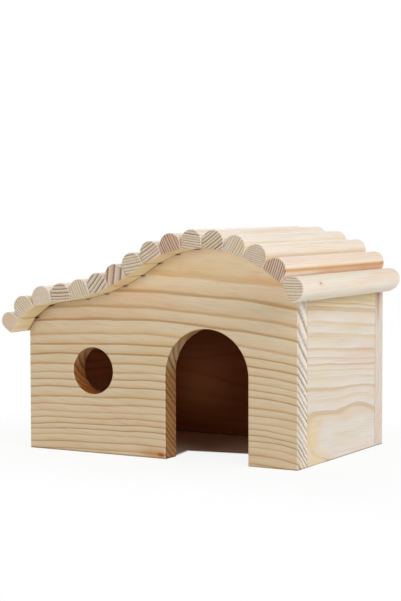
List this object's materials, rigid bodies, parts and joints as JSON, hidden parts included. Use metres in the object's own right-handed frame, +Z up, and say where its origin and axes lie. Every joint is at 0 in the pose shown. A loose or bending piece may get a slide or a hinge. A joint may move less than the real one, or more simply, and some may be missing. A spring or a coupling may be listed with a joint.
{
  "type": "hamster house",
  "caption": "Small wooden hideout for a hamster, open underneath, with an arched doorway, a round window and an S-shaped roof of half-round slats laid side by side.",
  "frame": {"origin": "on the ground, under the middle of the house's overall length and depth", "axes": "+X to the right as seen from the doorway side, along the front board; +Y from front to back; +Z up"},
  "size_m": [0.1664, 0.1134, 0.111],
  "materials": {
    "front_board": "bare planed pine, golden, with wide latewood lines",
    "back_board": "bare planed pine",
    "side_boards": "bare planed pine, pale, with gentle wavy bands",
    "cream_slats": "bare moulded pine sapwood, creamy",
    "pink_slats": "bare moulded pine with pinkish heartwood"
  },
  "bodies": {
    "root": {"front_wall": "front_board", "back_wall": "back_board", "left_wall": "side_boards", "right_wall": "side_boards", "roof_slat_01": "cream_slats", "roof_slat_02": "cream_slats", "roof_slat_03": "cream_slats", "roof_slat_04": "cream_slats", "roof_slat_05": "cream_slats", "roof_slat_06": "cream_slats", "roof_slat_07": "cream_slats", "roof_slat_08": "cream_slats", "roof_slat_09": "cream_slats", "roof_slat_10": "pink_slats", "roof_slat_11": "cream_slats", "roof_slat_12": "cream_slats", "roof_slat_13": "cream_slats", "roof_slat_14": "pink_slats", "roof_slat_15": "pink_slats", "roof_slat_16": "cream_slats"}
  },
  "joints": []
}
